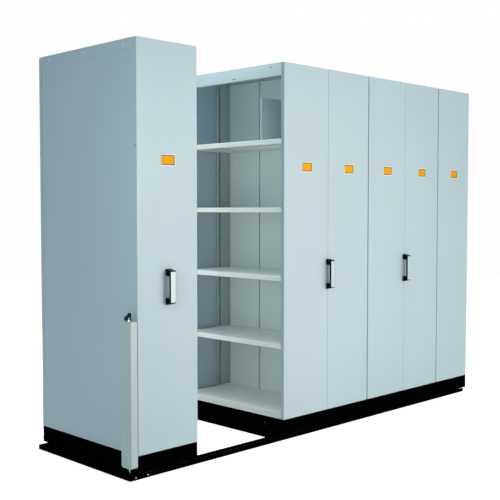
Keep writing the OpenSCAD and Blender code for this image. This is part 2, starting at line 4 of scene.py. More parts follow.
import bmesh
import bpy
import numpy as np
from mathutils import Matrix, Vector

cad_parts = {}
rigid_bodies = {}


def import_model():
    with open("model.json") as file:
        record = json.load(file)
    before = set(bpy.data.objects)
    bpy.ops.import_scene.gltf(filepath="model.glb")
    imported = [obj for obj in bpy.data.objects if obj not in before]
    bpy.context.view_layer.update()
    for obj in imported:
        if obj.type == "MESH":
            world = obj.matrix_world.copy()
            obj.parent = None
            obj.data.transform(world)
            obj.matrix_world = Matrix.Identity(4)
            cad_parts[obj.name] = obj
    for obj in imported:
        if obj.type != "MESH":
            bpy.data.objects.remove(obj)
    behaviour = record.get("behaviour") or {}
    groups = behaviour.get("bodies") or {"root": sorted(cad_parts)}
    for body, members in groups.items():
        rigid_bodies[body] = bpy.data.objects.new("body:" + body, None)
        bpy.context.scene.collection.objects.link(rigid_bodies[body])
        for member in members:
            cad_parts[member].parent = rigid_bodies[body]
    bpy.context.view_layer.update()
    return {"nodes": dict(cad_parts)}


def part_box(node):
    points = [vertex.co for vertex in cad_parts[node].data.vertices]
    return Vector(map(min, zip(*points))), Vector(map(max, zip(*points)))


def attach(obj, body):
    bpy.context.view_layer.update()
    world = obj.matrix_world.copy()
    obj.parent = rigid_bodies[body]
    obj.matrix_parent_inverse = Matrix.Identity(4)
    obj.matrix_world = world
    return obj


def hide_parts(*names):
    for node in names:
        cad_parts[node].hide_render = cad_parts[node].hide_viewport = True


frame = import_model()
nodes = frame["nodes"]
print("frame loaded,", len(nodes), "nodes")

mm = 0.001

# the camera is fitted to the straight edges of the units
camera = {"place": (-4.2127, -3.9308, 1.3746), "yaw": 44.87, "pitch": -2.71, "lens": 63.0, "sensor": 36.0,
          "clipEnd": 60.0}


def addCamera(c):
    data = bpy.data.cameras.new("camera")
    data.lens = c["lens"]
    data.sensor_width = c["sensor"]
    data.clip_end = c["clipEnd"]
    obj = bpy.data.objects.new("camera", data)
    obj.location = c["place"]
    obj.rotation_euler = (math.radians(90 + c["pitch"]), 0, math.radians(-c["yaw"]))
    bpy.context.scene.collection.objects.link(obj)
    bpy.context.scene.camera = obj


addCamera(camera)


# outlines and surfaces

def roundCorners(corners, radii, steps=5, closed=False):
    # Each corner of a flat line becomes an arc that starts one tangent length before it:
    # point = start + radius * (sin(h + turn * f) - sin h, cos h - cos(h + turn * f)) * sign(turn),
    # where h is the heading before the corner and f runs from 0 to 1. Points that coincide become one.
    p = np.array(corners, float)
    r = np.broadcast_to(np.array(radii, float), len(p)).copy()
    before, after = np.roll(p, 1, axis=0), np.roll(p, -1, axis=0)
    if not closed:
        before[0], after[-1] = 2 * p[0] - p[1], 2 * p[-1] - p[-2]
        r[0] = r[-1] = 0
    inWay = (p - before) / np.linalg.norm(p - before, axis=1)[:, None]
    outWay = (after - p) / np.linalg.norm(after - p, axis=1)[:, None]
    turn = np.arctan2(inWay[:, 0] * outWay[:, 1] - inWay[:, 1] * outWay[:, 0], (inWay * outWay).sum(1))
    start = p - inWay * (r * np.tan(np.abs(turn) / 2))[:, None]
    heading = np.arctan2(inWay[:, 1], inWay[:, 0])[:, None]
    f = np.linspace(0, 1, steps + 1)[None, :]
    side = (np.where(turn < 0, -1.0, 1.0) * r)[:, None]
    arc = np.stack([(np.sin(heading + turn[:, None] * f) - np.sin(heading)) * side,
                    (np.cos(heading) - np.cos(heading + turn[:, None] * f)) * side], -1)
    line = (start[:, None, :] + arc).reshape(-1, 2)
    keep = np.linalg.norm(line - np.roll(line, 1, axis=0), axis=1) > 1e-7
    keep[0] = keep[0] or not closed
    return line[keep]


def rectangle(w, h, radii, steps=5):
    # a rectangle about the origin with round corners, anticlockwise from the lower left
    corners = [(-w / 2, -h / 2), (w / 2, -h / 2), (w / 2, h / 2), (-w / 2, h / 2)]
    return roundCorners(corners, radii, steps, closed=True)


def outwards(line, closed=True):
    # the outward offset of an anticlockwise line for one unit of distance: the mean of two edge normals,
    # lengthened so that it reaches both offset edges
    edge = np.roll(line, -1, axis=0) - line
    if not closed:
        edge[-1] = edge[-2]
    edge /= np.linalg.norm(edge, axis=1)[:, None]
    normal = np.stack([edge[:, 1], -edge[:, 0]], 1)
    last = np.roll(normal, 1, axis=0)
    if not closed:
        last[0] = normal[0]
    both = normal + last
    return 2 * both / (both ** 2).sum(1)[:, None]


def folded(corners, radii, wall, steps=5):
    # sheet of one thickness folded along a line, with its outer side on the line's right
    line = roundCorners(corners, radii, steps)
    return np.concatenate([line, (line - outwards(line, closed=False) * wall)[::-1]])


def gridPart(points, closeU=False, closeV=False, capFirst=False, capLast=False):
    # quads between neighbouring rows and columns of points, and a flat face over the first or last row
    points = np.asarray(points, float)
    nu, nv = points.shape[:2]
    index = np.arange(nu * nv).reshape(nu, nv)
    if closeU:
        index = np.vstack([index, index[:1]])
    if closeV:
        index = np.hstack([index, index[:, :1]])
    faces = np.stack([index[:-1, :-1], index[1:, :-1], index[1:, 1:], index[:-1, 1:]], -1)
    faces = faces.reshape(-1, 4).tolist()
    if capFirst:
        faces.append(list(range(nv)))
    if capLast:
        faces.append(list(range((nu - 1) * nv, nu * nv))[::-1])
    return points.reshape(-1, 3), faces


def slab(line, z0, z1, fillet, steps=4):
    # an outline between two heights with round edges:
    # inset = fillet * (1 - sin a), rise = fillet * (1 - cos a)
    a = np.linspace(0, math.pi / 2, steps + 1)
    inset = fillet * (1 - np.sin(a))
    rise = fillet * (1 - np.cos(a))
    insets = np.concatenate([inset, inset[::-1]])
    heights = np.concatenate([z0 + rise, z1 - rise[::-1]])
    flat = line[None] - outwards(line)[None] * insets[:, None, None]
    z = np.broadcast_to(heights[:, None, None], flat.shape[:2] + (1,))
    return gridPart(np.concatenate([flat, z], -1), closeV=True, capFirst=True, capLast=True)


def rectangles(w, h, radii, section, least, steps):
    # one rectangle about the origin for each (inset, height) of a section, with no radius below the least
    radii = np.array(radii, float)
    rings = []
    for inset, height in section:
        line = rectangle(w - 2 * inset, h - 2 * inset, np.maximum(radii - inset, least), steps)
        rings.append(np.column_stack([line, np.full(len(line), height)]))
    return np.array(rings)


def pan(w, h, depth, radii, fold, wall, steps=4):
    # A folded tray about the origin, open towards -z: rings of rectangles, each shrunk by an inset and sunk
    # by a depth, go out over the face, round the fold, down the walls and back up inside them.
    a = np.linspace(0, math.pi / 2, steps + 1)
    least = 0.3 * mm
    inner = max(fold - wall, least)
    face = 3 * fold
    inset = [[face], fold * (1 - np.sin(a)), [0, wall], wall + inner * (1 - np.sin(a[::-1])), [face]]
    sunk = [[0], fold * (1 - np.cos(a)), [depth, depth], wall + inner * (1 - np.cos(a[::-1])), [wall]]
    section = zip(np.concatenate(inset), -np.concatenate(sunk))
    return gridPart(rectangles(w, h, radii, section, least, steps), closeV=True, capFirst=True, capLast=True)


def rim(w, h, radius, section, steps=5):
    # a closed section of (inset, height) carried round a rectangle
    return gridPart(rectangles(w, h, radius, section, 0.4 * mm, steps), closeU=True, closeV=True)


def extruded(line, y0, y1):
    # a closed outline in x and z carried along y
    points = np.empty((2, len(line), 3))
    points[..., 0] = line[None, :, 0]
    points[..., 1] = np.array([y0, y1])[:, None]
    points[..., 2] = line[None, :, 1]
    return gridPart(points, closeV=True, capFirst=True, capLast=True)


def turned(line, steps=48, closed=True, height=None):
    # a line of (radius, height) turned about z: x = r cos a, y = r sin a; height(r, a, z) may add to z
    a = np.linspace(0, 2 * math.pi, steps, endpoint=False)[None]
    line = np.asarray(line, float)
    r, z = line[:, :1], line[:, 1:]
    z = z + (height(r, a, z) if height else 0 * a)
    points = np.stack([r * np.cos(a), r * np.sin(a), z], -1)
    return gridPart(points, closeU=closed, closeV=True, capFirst=not closed, capLast=not closed)


# ways for moved: a flat part that stands and looks to the near end or to the far end, and one turned about z
# whose axis lies along y
facingNear = ((1, 0, 0), (0, 0, 1), (0, -1, 0))
facingFar = ((1, 0, 0), (0, 0, 1), (0, 1, 0))
alongY = ((1, 0, 0), (0, 0, -1), (0, 1, 0))


def moved(part, origin, xWay=(1, 0, 0), yWay=(0, 1, 0), zWay=(0, 0, 1)):
    # lays a part's own axes along three directions and its origin on a point
    points, faces = part
    return points @ np.array([xWay, yWay, zWay], float) + np.array(origin, float), faces


def addPiece(name, parts, body, material, replaced=(), sharp=35):
    # joins parts to one object, which rides a body and stands in for the CAD nodes it replaces
    points, faces, first = [], [], 0
    for p, f in parts:
        points.append(p)
        faces += [[i + first for i in face] for face in f]
        first += len(p)
    mesh = bpy.data.meshes.new(name)
    mesh.from_pydata(np.concatenate(points).tolist(), [], faces)
    work = bmesh.new()
    work.from_mesh(mesh)
    bmesh.ops.remove_doubles(work, verts=work.verts, dist=1e-6)
    bmesh.ops.recalc_face_normals(work, faces=work.faces)
    work.to_mesh(mesh)
    work.free()
    mesh.shade_smooth()
    mesh.set_sharp_from_angle(angle=math.radians(sharp))
    mesh.materials.append(material)
    piece = bpy.data.objects.new(name, mesh)
    bpy.context.scene.collection.objects.link(piece)
    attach(piece, body)
    if replaced:
        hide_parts(*replaced)


def middleOf(box):
    # the middle of a box that is given by its low and high corners
    low, high = box
    return (low.x + high.x) / 2, (low.y + high.y) / 2, (low.z + high.z) / 2


def dress(node, material, bevel=0.0, segments=2):
    # gives a CAD node its finish, and rounds its edges where a width is given
    obj = nodes[node]
    obj.data.materials.clear()
    obj.data.materials.append(material)
    if bevel:
        weld = obj.modifiers.new("weld", "WELD")
        weld.merge_threshold = 0.01 * mm
        edge = obj.modifiers.new("edges", "BEVEL")
        edge.width = bevel
        edge.segments = segments
        edge.limit_method = "ANGLE"
        edge.angle_limit = math.radians(40)
        edge.harden_normals = True


# materials

class Finish:
    # a material with one Principled shader, and short calls for the nodes that feed it
    def __init__(self, name, roughness=0.5, metallic=0.0, **more):
        self.material = bpy.data.materials.new(name)
        self.material.use_nodes = True
        self.tree = self.material.node_tree
        self.shader = self.tree.nodes["Principled BSDF"]
        self.shader.inputs["Roughness"].default_value = roughness
        self.shader.inputs["Metallic"].default_value = metallic
        for socket, value in more.items():
            self.shader.inputs[socket.replace("_", " ")].default_value = value
        self.where = self.tree.nodes.new("ShaderNodeTexCoord").outputs["Object"]

    def node(self, kind, inputs=(), **settings):
        node = self.tree.nodes.new("ShaderNode" + kind)
        for key, value in settings.items():
            setattr(node, key, value)
        for key, value in dict(inputs).items():
            if isinstance(value, bpy.types.NodeSocket):
                self.tree.links.new(value, node.inputs[key])
            else:
                node.inputs[key].default_value = value
        return node

    def stretched(self, scale):
        return self.node("Mapping", {"Vector": self.where, "Scale": scale}).outputs["Vector"]

    def noise(self, scale, detail=3.0, rough=0.5, where=None):
        return self.node("TexNoise", {"Vector": where or self.where, "Scale": scale, "Detail": detail,
                                      "Roughness": rough}).outputs["Fac"]

    def levels(self, value, low, high, toLow=0.0, toHigh=1.0):
        return self.node("MapRange", {"Value": value, "From Min": low, "From Max": high, "To Min": toLow,
                                      "To Max": toHigh}).outputs["Result"]

    def math(self, operation, a, b):
        return self.node("Math", {0: a, 1: b}, operation=operation).outputs["Value"]

    def mix(self, share, a, b):
        node = self.node("Mix", {0: share}, data_type="RGBA")
        for socket, value in ((node.inputs[6], a), (node.inputs[7], b)):
            if isinstance(value, bpy.types.NodeSocket):
                self.tree.links.new(value, socket)
            else:
                socket.default_value = (*value, 1.0)
        return node.outputs[2]

    def edges(self, radius, flat=0.985, folded=0.86):
        # how far the surface bends within a radius: dot(rounded normal, true normal) from flat to folded
        bent = self.node("Bevel", {"Radius": radius}, samples=4).outputs["Normal"]
        true = self.node("NewGeometry").outputs["Normal"]
        dot = self.node("VectorMath", {0: bent, 1: true}, operation="DOT_PRODUCT").outputs["Value"]
        return self.levels(dot, flat, folded)

    def height(self):
        return self.node("SeparateXYZ", {"Vector": self.where}).outputs["Z"]

    def link(self, value, socket):
        self.tree.links.new(value, self.shader.inputs[socket])

    def bump(self, value, strength, distance):
        node = self.node("Bump", {"Height": value, "Strength": strength, "Distance": distance})
        self.link(node.outputs["Normal"], "Normal")


def powderCoat(name, p):
    # powder coat: fine orange peel, slight clouds in the colour, and paler folds that are partly rubbed wear
    # and partly a painted highlight
    f = Finish(name, p["roughness"])
    clouds = f.levels(f.noise(2.2, 4.0), 0.3, 0.7)
    grain = f.levels(f.noise(1400.0, 2.0), 0.3, 0.7)
    color = f.mix(clouds, p["color"], [c * p["cloud"] for c in p["color"]])
    color = f.mix(f.math("MULTIPLY", grain, p["speck"]), color, [c * 0.8 for c in p["color"]])
    edgePatches = f.levels(f.noise(60.0, 5.0, 0.7), 0.45, 0.75)
    # paler colour on the folds: partly wear, partly a painted highlight along the bent edges
    edgeRubAndLight = f.math("MULTIPLY", f.edges(p["edge"]), f.levels(edgePatches, 0, 1, p["edgeRubAndLightShare"] * 0.5, p["edgeRubAndLightShare"]))
    f.link(f.mix(edgeRubAndLight, color, p["edgeRubAndLight"]), "Base Color")
    smear = f.noise(9.0, 4.0, 0.6)
    f.link(f.levels(smear, 0.25, 0.75, p["roughness"] - 0.06, p["roughness"] + 0.06), "Roughness")
    f.bump(f.noise(520.0, 2.0), p["peel"], 0.0002)
    return f.material


# the folds' paler colour below is partly wear and partly a painted highlight
outerPaint = {"cloud": 0.97, "speck": 0.05, "roughness": 0.42, "peel": 0.12, "edge": 2.0 * mm, "edgeRubAndLightShare": 0.35,
              "edgeRubAndLight": (0.80, 0.87, 0.91)}
innerPaint = dict(outerPaint, speck=0.06, roughness=0.45, edge=1.5 * mm)
panelPaint = powderCoat("panelPaint", dict(outerPaint, color=(0.571, 0.686, 0.759)))
backPaint = powderCoat("backPaint", dict(outerPaint, color=(0.68, 0.79, 0.81), cloud=0.95))
lockPaint = powderCoat("lockPaint", dict(outerPaint, color=(0.57, 0.655, 0.665), edgeRubAndLight=(0.80, 0.87, 0.88)))
shelfPaint = powderCoat("shelfPaint", dict(innerPaint, color=(0.86, 0.89, 0.92), cloud=0.96,
                                           edgeRubAndLight=(0.92, 0.94, 0.94)))
postPaint = powderCoat("postPaint", dict(innerPaint, color=(0.50, 0.57, 0.56), cloud=0.95, edgeRubAndLightShare=0.5,
                                         edgeRubAndLight=(0.88, 0.91, 0.91)))


def plinthFinish(name, p):
    # satin black with a little grey dust towards the floor, and slightly rubbed edges
    f = Finish(name, p["roughness"], Specular_IOR_Level=p["specular"])
    dustBand = f.levels(f.height(), p["dustTop"], 0.0)
    patches = f.levels(f.noise(22.0, 6.0, 0.65), 0.42, 0.7)
    dust = f.math("MULTIPLY", f.math("MULTIPLY", dustBand, patches), p["dust"])
    color = f.mix(dust, p["color"], (0.1, 0.1, 0.095))
    edgeRubAndLight = f.math("MULTIPLY", f.edges(p["edge"]), p["edgeRubAndLightShare"])
    f.link(f.mix(edgeRubAndLight, color, p["edgeRubAndLight"]), "Base Color")
    f.link(f.levels(f.noise(14.0, 4.0), 0.25, 0.75, p["roughness"] - 0.08, p["roughness"] + 0.1), "Roughness")
    f.bump(f.noise(600.0, 2.0), 0.1, 0.0002)
    return f.material


plinthPaint = plinthFinish("plinthPaint", {
    "color": (0.0006, 0.0009, 0.0008), "specular": 0.0, "roughness": 0.5, "dustTop": 0.12, "dust": 0.008,
    "edge": 1.5 * mm, "edgeRubAndLightShare": 0.08, "edgeRubAndLight": (0.03, 0.034, 0.034)})
trackPaint = plinthFinish("trackPaint", {
    "color": (0.001, 0.001, 0.001), "specular": 0.0, "roughness": 0.5, "dustTop": 0.04, "dust": 0.018,
    "edge": 1.2 * mm, "edgeRubAndLightShare": 0.1, "edgeRubAndLight": (0.04, 0.04, 0.04)})


def drawnMetal(name, p):
    # metal with fine lines along one axis, stains, and brighter edges
    f = Finish(name, p["roughness"], p.get("metallic", 1.0))
    lines = f.noise(1.0, 3.0, 0.6, f.stretched(p["lines"]))
    stains = f.levels(f.noise(p["stainScale"], 5.0, 0.6), 0.35, 0.75)
    color = f.mix(stains, p["color"], p["stain"])
    color = f.mix(f.math("MULTIPLY", f.levels(lines, 0.3, 0.7), 0.3), color, [c * 0.7 for c in p["color"]])
    f.link(f.mix(f.math("MULTIPLY", f.edges(1.0 * mm), 0.4), color, p["edgeRubAndLight"]), "Base Color")
    f.link(f.levels(lines, 0.25, 0.75, p["roughness"] - 0.08, p["roughness"] + 0.12), "Roughness")
    f.bump(lines, p["bump"], 0.0001)
    return f.material


railSteel = drawnMetal("railSteel", {
    "color": (0.36, 0.36, 0.37), "stain": (0.22, 0.2, 0.19), "edgeRubAndLight": (0.6, 0.6, 0.6), "roughness": 0.38,
    "lines": (8.0, 1600.0, 1600.0), "stainScale": 18.0, "bump": 0.15})
screwBlack = drawnMetal("screwBlack", {
    "color": (0.05, 0.055, 0.06), "stain": (0.03, 0.03, 0.035), "edgeRubAndLight": (0.2, 0.2, 0.2), "roughness": 0.45,
    "lines": (500.0, 500.0, 500.0), "stainScale": 90.0, "bump": 0.05})
axleSteel = drawnMetal("axleSteel", {
    "color": (0.6, 0.6, 0.61), "stain": (0.45, 0.44, 0.42), "edgeRubAndLight": (0.75, 0.75, 0.75), "roughness": 0.3,
    "lines": (900.0, 30.0, 900.0), "stainScale": 30.0, "bump": 0.08})
gripAluminium = drawnMetal("gripAluminium", {
    "color": (0.58, 0.67, 0.72), "stain": (0.53, 0.62, 0.67), "edgeRubAndLight": (0.85, 0.88, 0.9), "roughness": 0.4,
    "metallic": 0.35, "lines": (2200.0, 2200.0, 12.0), "stainScale": 25.0, "bump": 0.08})
lockSteel = drawnMetal("lockSteel", {
    "color": (0.72, 0.73, 0.74), "stain": (0.62, 0.62, 0.62), "edgeRubAndLight": (0.9, 0.9, 0.9), "roughness": 0.2,
    "lines": (500.0, 500.0, 60.0), "stainScale": 60.0, "bump": 0.05})


def castIron(name, p):
    # cast surface: coarse grain, oily darker patches and rubbed edges
    f = Finish(name, p["roughness"], p["metallic"])
    grain = f.noise(420.0, 5.0, 0.7)
    patches = f.levels(f.noise(26.0, 5.0, 0.6), 0.4, 0.7)
    color = f.mix(patches, p["color"], p["dark"])
    f.link(f.mix(f.math("MULTIPLY", f.edges(1.5 * mm), 0.5), color, p["edgeRubAndLight"]), "Base Color")
    f.link(f.levels(grain, 0.3, 0.7, p["roughness"] - 0.08, p["roughness"] + 0.1), "Roughness")
    f.bump(grain, 0.35, 0.0003)
    return f.material


wheelIron = castIron("wheelIron", {
    "color": (0.3, 0.3, 0.31), "dark": (0.17, 0.16, 0.15), "edgeRubAndLight": (0.5, 0.5, 0.5), "roughness": 0.45,
    "metallic": 0.9})
bearingIron = castIron("bearingIron", {
    "color": (0.12, 0.125, 0.13), "dark": (0.07, 0.07, 0.07), "edgeRubAndLight": (0.3, 0.3, 0.3), "roughness": 0.5,
    "metallic": 0.2})


def mouldedPlastic(name, p):
    # moulded plastic: fine spark-eroded grain, finger smears in the gloss, and a second colour on the edges:
    # paler rubbed wear on most, brown painted shade on the label frame
    f = Finish(name, p["roughness"], Specular_IOR_Level=p.get("specular", 0.5))
    f.link(f.mix(f.math("MULTIPLY", f.edges(1.2 * mm), p["edgeRubAndLightShare"]), p["color"], p["edgeRubAndLight"]), "Base Color")
    f.link(f.levels(f.noise(35.0, 4.0), 0.3, 0.7, p["roughness"] - 0.07, p["roughness"] + 0.1), "Roughness")
    f.bump(f.noise(1500.0, 3.0), p["grain"], 0.0001)
    return f.material


gripPlastic = mouldedPlastic("gripPlastic", {
    "color": (0.001, 0.002, 0.002), "edgeRubAndLight": (0.01, 0.012, 0.012), "roughness": 0.3, "edgeRubAndLightShare": 0.4,
    "grain": 0.25, "specular": 0.06})
keyPlastic = mouldedPlastic("keyPlastic", {
    "color": (0.002, 0.003, 0.003), "edgeRubAndLight": (0.02, 0.022, 0.022), "roughness": 0.38, "edgeRubAndLightShare": 0.3,
    "grain": 0.2, "specular": 0.2})
# the frame's brown edge colour is painted shade along its rims and inner edges
framePlastic = mouldedPlastic("framePlastic", {
    "color": (0.92, 0.89, 0.82), "edgeRubAndLight": (0.42, 0.32, 0.24), "roughness": 0.4, "edgeRubAndLightShare": 0.55, "grain": 0.12})
# the lip's dark brown is painted shade inside the rim, where it overhangs the card
lipPlastic = mouldedPlastic("lipPlastic", {
    "color": (0.08, 0.055, 0.02), "edgeRubAndLight": (0.14, 0.1, 0.04), "roughness": 0.5, "edgeRubAndLightShare": 0.3, "grain": 0.2})
bufferRubber = mouldedPlastic("bufferRubber", {
    "color": (0.003, 0.003, 0.003), "edgeRubAndLight": (0.02, 0.02, 0.02), "roughness": 0.75, "edgeRubAndLightShare": 0.3,
    "grain": 0.5, "specular": 0.1})


def cardPaper(name, p):
    # coloured card: short fibres in colour and surface, a little fading
    f = Finish(name, p["roughness"], Specular_IOR_Level=0.1)
    fibres = f.noise(1.0, 6.0, 0.75, f.stretched((700.0, 700.0, 2400.0)))
    fade = f.levels(f.noise(14.0, 3.0), 0.3, 0.7)
    color = f.mix(fade, p["color"], p["faded"])
    f.link(f.mix(f.math("MULTIPLY", f.levels(fibres, 0.4, 0.7), 0.25), color, p["fibre"]), "Base Color")
    f.bump(fibres, 0.3, 0.0001)
    return f.material


labelCard = cardPaper("labelCard", {
    "color": (1.0, 0.42, 0.006), "faded": (1.0, 0.45, 0.012), "fibre": (1.0, 0.5, 0.03), "roughness": 0.75})
print("materials made")

# units: body, whether single, and the way into the first bay from its open side
unitKinds = {"carriage_1": ("carriage_1", True, -1), "carriage_2": ("carriage_2", False, 1),
             "carriage_3": ("carriage_3", False, 1), "static": ("fixed_unit_and_tracks", True, 1)}
# each bay is the x of its open side and the way that leads into it
units = {}
for prefix, (body, single, way) in unitKinds.items():
    low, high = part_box(prefix + "_end_panels")
    if single:
        bays = [(high.x if way < 0 else low.x, way)]
    else:
        bays = [(low.x, 1), (high.x, -1)]
    units[prefix] = {"body": body, "low": low, "high": high, "single": single, "bays": bays,
                     "bayDepth": (high.x - low.x) * (1.0 if single else 0.5), "plural": "" if single else "s"}


def inBay(part, openX, way):
    # a part drawn with x leading into the bay
    points, faces = part
    points = points.copy()
    points[:, 0] = openX + way * points[:, 0]
    return points, faces


panelSize = {"fold": 2.2 * mm, "corner": 2.6 * mm, "wall": 1.2 * mm, "depth": 25 * mm, "seam": 1.0 * mm,
             "linerIn": 13 * mm, "linerFrom": 47.3 * mm, "linerTo": 282.7 * mm, "linerShort": 8 * mm,
             "linerCorner": 1 * mm, "linerSoft": 0.3 * mm}


def endPanels(prefix, unit, p):
    # folded pans that close the two ends of each bay, and the flat liners between the posts behind them
    z0, z1 = unit["low"].z, unit["high"].z
    middleZ = (z0 + z1) / 2
    width = unit["bayDepth"] - (0 if unit["single"] else p["seam"])
    skin = pan(width, z1 - z0, p["depth"], p["corner"], p["fold"], p["wall"])
    linerX = (p["linerFrom"] + p["linerTo"]) / 2
    linerLine = rectangle(p["linerTo"] - p["linerFrom"], z1 - z0 - p["linerShort"], p["linerCorner"])
    liner = slab(linerLine, 0, p["wall"], p["linerSoft"], 2)
    parts = []
    for openX, way in unit["bays"]:
        for y, out in ((unit["low"].y, -1), (unit["high"].y, 1)):
            outer = moved(skin, (width / 2, y, middleZ), (1, 0, 0), (0, 0, 1), (0, out, 0))
            where = (linerX, y - out * p["linerIn"], middleZ)
            inner = moved(liner, where, (1, 0, 0), (0, 0, 1), (0, -out, 0))
            parts += [inBay(outer, openX, way), inBay(inner, openX, way)]
    addPiece(prefix + "EndPanels", parts, unit["body"], panelPaint, [prefix + "_end_panels"])


topSize = {"fascia": 75 * mm, "rail": 52 * mm, "innerRail": 20 * mm, "wall": 1.2 * mm, "fold": 2.2 * mm,
           "return": 20 * mm, "lip": 9 * mm, "roofGap": 1.5 * mm, "roofCorner": 1.5 * mm,
           "roofSoft": 0.5 * mm, "slotY": 426 * mm, "slotUp": 12 * mm, "slotLong": 34 * mm,
           "slotHigh": 6 * mm, "lap": 0.02 * mm}


def tops(prefix, unit, p):
    # Roof sheet, folded fascia over the open side, and folded rail at the back. At the fascia's slot the
    # sheet is drawn as two bands, above and below it.
    low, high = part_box(prefix + "_top")
    backX = unit["bayDepth"] - (0 if unit["single"] else panelSize["seam"])
    top = high.z
    bottom = top - p["fascia"]
    under = top - p["roofGap"]
    slotZ = bottom + p["slotUp"]
    slot0 = unit["low"].y + p["slotY"] - p["slotLong"] / 2
    slot1 = slot0 + p["slotLong"]
    upper = [(p["return"], under), (0, under)]
    lower = [(0, bottom), (p["return"], bottom), (p["return"], bottom + p["lip"])]
    fascia = [(upper + lower, low.y, slot0), (upper + lower, slot1, high.y),
              (upper + [(0, slotZ + p["slotHigh"])], slot0 - p["lap"], slot1 + p["lap"]),
              ([(0, slotZ)] + lower, slot0 - p["lap"], slot1 + p["lap"])]
    railFoot = top - (p["rail"] if unit["single"] else p["innerRail"])
    rail = folded([(backX - p["return"], railFoot), (backX, railFoot), (backX, under),
                   (backX - p["return"], under)], p["fold"], p["wall"])
    roofLine = rectangle(backX, high.y - low.y, p["roofCorner"])
    roof = slab(roofLine, top - p["wall"], top, p["roofSoft"], 3)
    parts = []
    for openX, way in unit["bays"]:
        for line, y0, y1 in fascia:
            parts.append(inBay(extruded(folded(line, p["fold"], p["wall"]), y0, y1), openX, way))
        parts.append(inBay(extruded(rail, low.y, high.y), openX, way))
        parts.append(inBay(moved(roof, (backX / 2, (low.y + high.y) / 2, 0)), openX, way))
    addPiece(prefix + "Top", parts, unit["body"], panelPaint, [prefix + "_top"])


# folds are the radii along the shelf's section and hookLine is the outline of a hook, both in mm
shelfSize = {"count": 5, "rise": 406 * mm, "first": 163 * mm, "edge": 30 * mm, "front": 3 * mm,
             "back": 392 * mm, "endIn": 28 * mm, "wall": 1.2 * mm, "grooveTop": 17 * mm, "grooveHigh": 3 * mm,
             "grooveIn": 2 * mm, "return": 18 * mm, "folds": (0, 2, 2, 2.4, 1.3, 0.6, 0.6, 1.3, 3.5, 0),
             "flangeIn": 3 * mm, "flangeCorner": 2 * mm, "flangeSoft": 0.3 * mm,
             "hooks": (24.5 * mm, 296 * mm), "hookDrop": 13 * mm, "hookIn": 1 * mm, "hookWide": 12 * mm,
             "hookLine": ((0, -6), (3, -6), (4.6, -10), (7, -10), (7, 0), (0, 0)), "hookCorner": 0.8 * mm,
             "hookSoft": 0.4 * mm, "filler": 12.7 * mm, "fillerW": 12 * mm, "fillerCorner": 1.5 * mm,
             "fillerSoft": 1.2 * mm}


def shelves(prefix, unit, p):
    # Each shelf is one folded sheet: back edge, top, front edge with its groove and rolled lower band.
    # Flanges close its ends, and hooks reach through the post holes.
    y0, y1 = unit["low"].y + p["endIn"], unit["high"].y - p["endIn"]
    front, back, edge, wall = p["front"], p["back"], p["edge"], p["wall"]
    groove0 = -p["grooveTop"]
    groove1 = groove0 - p["grooveHigh"]
    section = [(back - p["return"], -edge), (back, -edge), (back, 0), (front, 0), (front, groove0),
               (front + p["grooveIn"], groove0), (front + p["grooveIn"], groove1), (front, groove1),
               (front, -edge), (front + p["return"], -edge)]
    sheet = extruded(folded(section, np.array(p["folds"]) * mm, wall), y0, y1)
    flangeLine = rectangle(back - front - 2 * p["flangeIn"], edge - wall, p["flangeCorner"])
    flange = slab(flangeLine, 0, wall, p["flangeSoft"], 2)
    hookLine = roundCorners(np.array(p["hookLine"]) * mm, p["hookCorner"], 3, closed=True)
    hook = slab(hookLine, -p["hookWide"] / 2, p["hookWide"] / 2, p["hookSoft"], 2)
    filler = slab(rectangle(p["fillerW"], y1 - y0, p["fillerCorner"]), 0, p["filler"], p["fillerSoft"], 3)
    parts = []
    for openX, way in unit["bays"]:
        for i in range(p["count"]):
            z = p["first"] + i * p["rise"]
            parts.append(inBay(moved(sheet, (0, 0, z)), openX, way))
            for y, out in ((y0, -1), (y1, 1)):
                where = ((front + back) / 2, y, z - (edge + wall) / 2)
                parts.append(inBay(moved(flange, where, (1, 0, 0), (0, 0, 1), (0, -out, 0)), openX, way))
                for x in p["hooks"]:
                    where = (x, y - out * p["hookIn"], z - p["hookDrop"])
                    parts.append(inBay(moved(hook, where, (0, out, 0), (0, 0, 1), (1, 0, 0)), openX, way))
        for x in (front, back - wall - p["fillerW"]):
            where = (x + p["fillerW"] / 2, (y0 + y1) / 2, unit["low"].z)
            parts.append(inBay(moved(filler, where), openX, way))
    addPiece(prefix + "Shelves", parts, unit["body"], shelfPaint, [prefix + "_shelves"])


labelSize = {"w": 98 * mm, "h": 62 * mm, "corner": 3 * mm, "depth": 4 * mm, "rim": 5.5 * mm, "lip": 9.5 * mm,
             "slot": 5 * mm, "back": 1.2 * mm, "backGap": 0.1 * mm, "backCorner": 1 * mm,
             "backSoft": 0.2 * mm, "cardGap": 1.9 * mm, "soft": 1 * mm, "bend": 0.3 * mm,
             "lipDown": 0.7 * mm, "lipFlat": 0.5 * mm, "lipEnd": 0.6 * mm}


